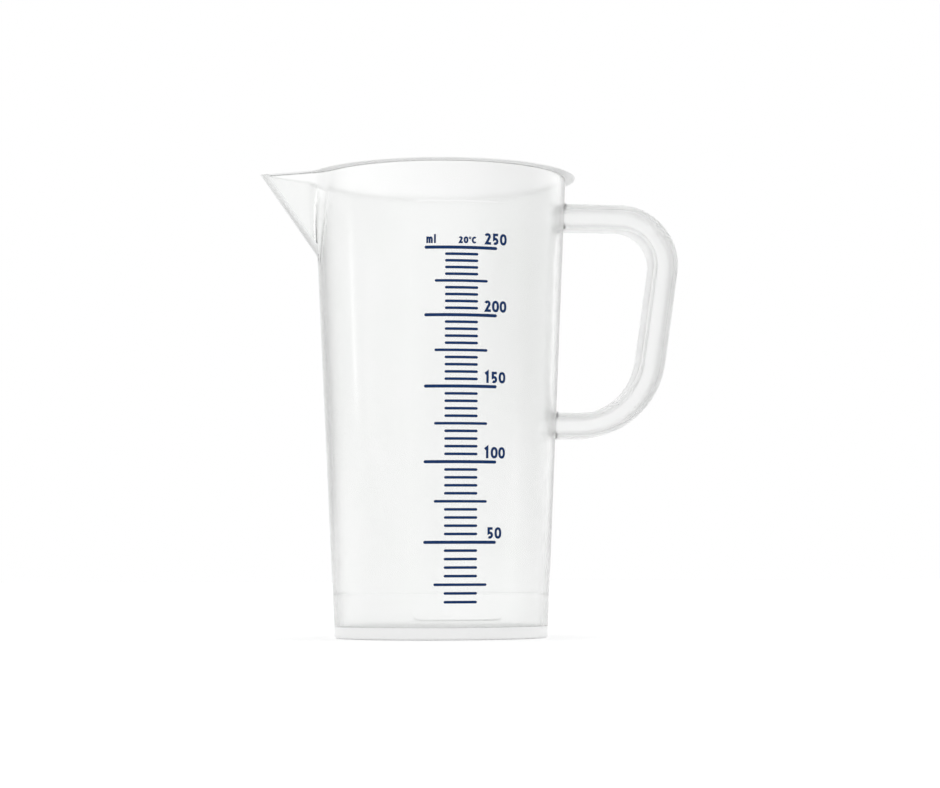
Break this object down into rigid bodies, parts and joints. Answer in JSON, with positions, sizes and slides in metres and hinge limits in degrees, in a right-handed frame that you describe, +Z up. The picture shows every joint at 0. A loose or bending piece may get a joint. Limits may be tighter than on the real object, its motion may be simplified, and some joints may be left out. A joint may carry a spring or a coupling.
{
  "type": "measuring jug",
  "caption": "Translucent conical measuring jug with a flared rim lip, a V-shaped pouring spout, a D-shaped I-section handle and a printed volume scale on one side.",
  "frame": {"origin": "middle of the bounding box on the plane that the jug stands on; the cup's axis is 8.6 mm towards -X from it", "axes": "+Z up along the cup's axis, +X towards the handle, -X towards the spout, -Y towards the printed scale"},
  "size_m": [0.1106, 0.0716, 0.121],
  "materials": {
    "natural_polypropylene": "moulded, satin, milky translucent",
    "blue_ink": "screen-printed, matt"
  },
  "bodies": {
    "root": {"foot_ring": "natural_polypropylene", "floor_disc": "natural_polypropylene", "body_wall": "natural_polypropylene", "rim_lip": "natural_polypropylene", "pouring_spout": "natural_polypropylene", "handle_outer_flange": "natural_polypropylene", "handle_web": "natural_polypropylene", "handle_inner_flange": "natural_polypropylene", "line_015_ml": "blue_ink", "line_020_ml": "blue_ink", "line_025_ml": "blue_ink", "line_030_ml": "blue_ink", "line_035_ml": "blue_ink", "line_040_ml": "blue_ink", "line_045_ml": "blue_ink", "line_050_ml": "blue_ink", "line_055_ml": "blue_ink", "line_060_ml": "blue_ink", "line_065_ml": "blue_ink", "line_070_ml": "blue_ink", "line_075_ml": "blue_ink", "line_080_ml": "blue_ink", "line_085_ml": "blue_ink", "line_090_ml": "blue_ink", "line_095_ml": "blue_ink", "line_100_ml": "blue_ink", "line_105_ml": "blue_ink", "line_110_ml": "blue_ink", "line_115_ml": "blue_ink", "line_120_ml": "blue_ink", "line_125_ml": "blue_ink", "line_130_ml": "blue_ink", "line_135_ml": "blue_ink", "line_140_ml": "blue_ink", "line_145_ml": "blue_ink", "line_150_ml": "blue_ink", "line_155_ml": "blue_ink", "line_160_ml": "blue_ink", "line_165_ml": "blue_ink", "line_170_ml": "blue_ink", "line_175_ml": "blue_ink", "line_180_ml": "blue_ink", "line_185_ml": "blue_ink", "line_190_ml": "blue_ink", "line_195_ml": "blue_ink", "line_200_ml": "blue_ink", "line_205_ml": "blue_ink", "line_210_ml": "blue_ink", "line_215_ml": "blue_ink", "line_220_ml": "blue_ink", "line_225_ml": "blue_ink", "line_230_ml": "blue_ink", "line_235_ml": "blue_ink", "line_240_ml": "blue_ink", "line_245_ml": "blue_ink", "line_250_ml": "blue_ink"}
  },
  "joints": []
}
